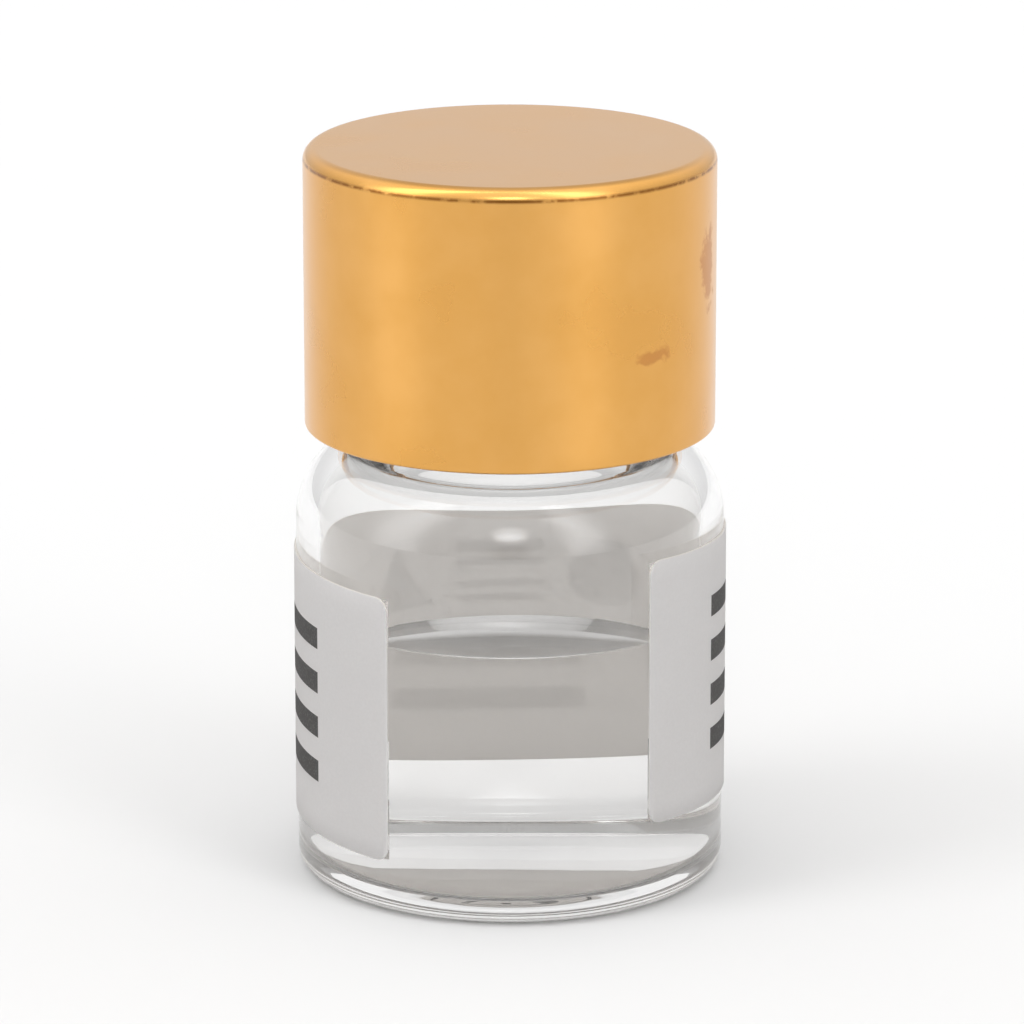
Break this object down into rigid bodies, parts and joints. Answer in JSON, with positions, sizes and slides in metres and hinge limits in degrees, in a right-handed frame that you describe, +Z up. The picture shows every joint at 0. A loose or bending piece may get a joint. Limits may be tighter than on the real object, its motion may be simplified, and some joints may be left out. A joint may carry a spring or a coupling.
{
  "type": "small screw-cap glass vial",
  "caption": "Small clear glass vial with a smooth gold screw cap, a wrapped paper label and a clear liquid sample inside.",
  "frame": {"origin": "centre of the ring that the vial stands on", "axes": "+Z up along the vial's axis; -Y towards the open gap between the label's two ends"},
  "size_m": [0.0222, 0.0221, 0.038],
  "materials": {
    "clear_glass": "polished",
    "clear_liquid": "polished",
    "label_paper": "matte",
    "gold_aluminium": "satin",
    "white_plastic": "satin",
    "liner_foam": "matte",
    "liner_film": "gloss"
  },
  "bodies": {
    "vial": {"glass_vial": "clear_glass", "liquid_sample": "clear_liquid", "wrap_label": "label_paper"},
    "liner": {"liner_pad": "liner_foam", "liner_facing": "liner_film"},
    "cap": {"cap_shell": "gold_aluminium", "thread_insert": "white_plastic"}
  },
  "joints": [
    {"name": "cap_lift", "type": "slide", "parent": "vial", "child": "liner", "axis": [0, 0, 1], "range_m": [0, 0.01588]},
    {"name": "cap_turn", "type": "hinge", "parent": "liner", "child": "cap", "pos_m": [0, 0, 0.0373], "axis": [0, 0, 1], "range_deg": [0, 1800]}
  ],
  "couplings": [
    {"joint": "cap_lift", "follows": "cap_turn", "m_per_rad": 0.00050532}
  ]
}
